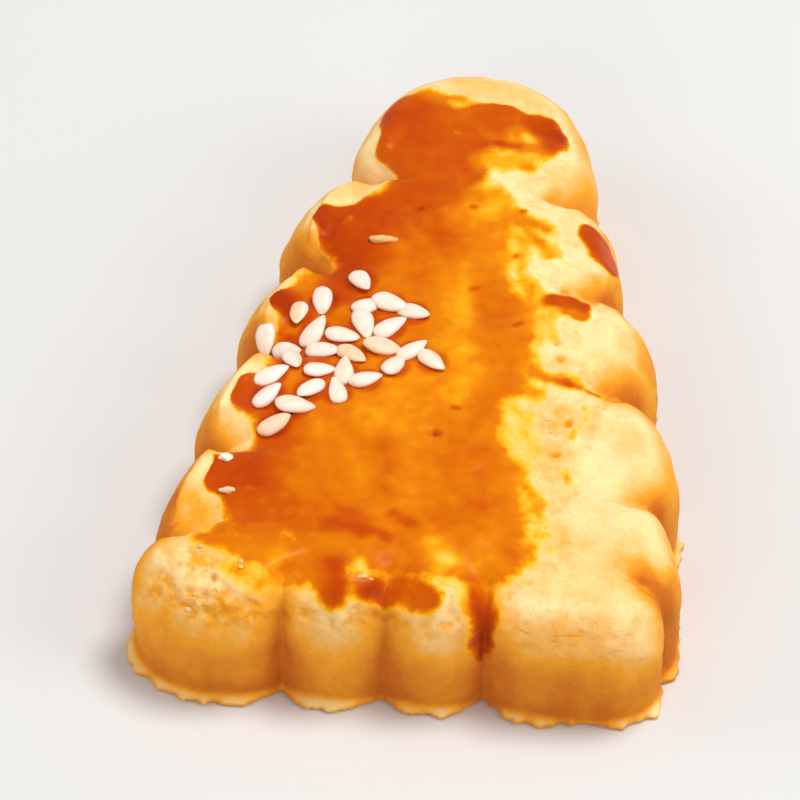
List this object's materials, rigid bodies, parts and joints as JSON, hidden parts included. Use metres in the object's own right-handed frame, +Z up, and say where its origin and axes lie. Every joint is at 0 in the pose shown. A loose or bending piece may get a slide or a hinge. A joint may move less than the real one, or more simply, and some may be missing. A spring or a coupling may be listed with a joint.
{
  "type": "tea cookie",
  "caption": "Flat triangular tea cookie with a scalloped edge, a rounded tip and sesame seeds baked onto its egg-washed top.",
  "frame": {"origin": "under the middle of the bounding box, on the surface the cookie lies on", "axes": "+Y along the cookie towards its rounded tip, +X across it, +Z up through its thickness"},
  "size_m": [0.0492, 0.0724, 0.015],
  "materials": {
    "baked_dough": "satin"
  },
  "bodies": {
    "root": {"cookie": "baked_dough"}
  },
  "joints": []
}
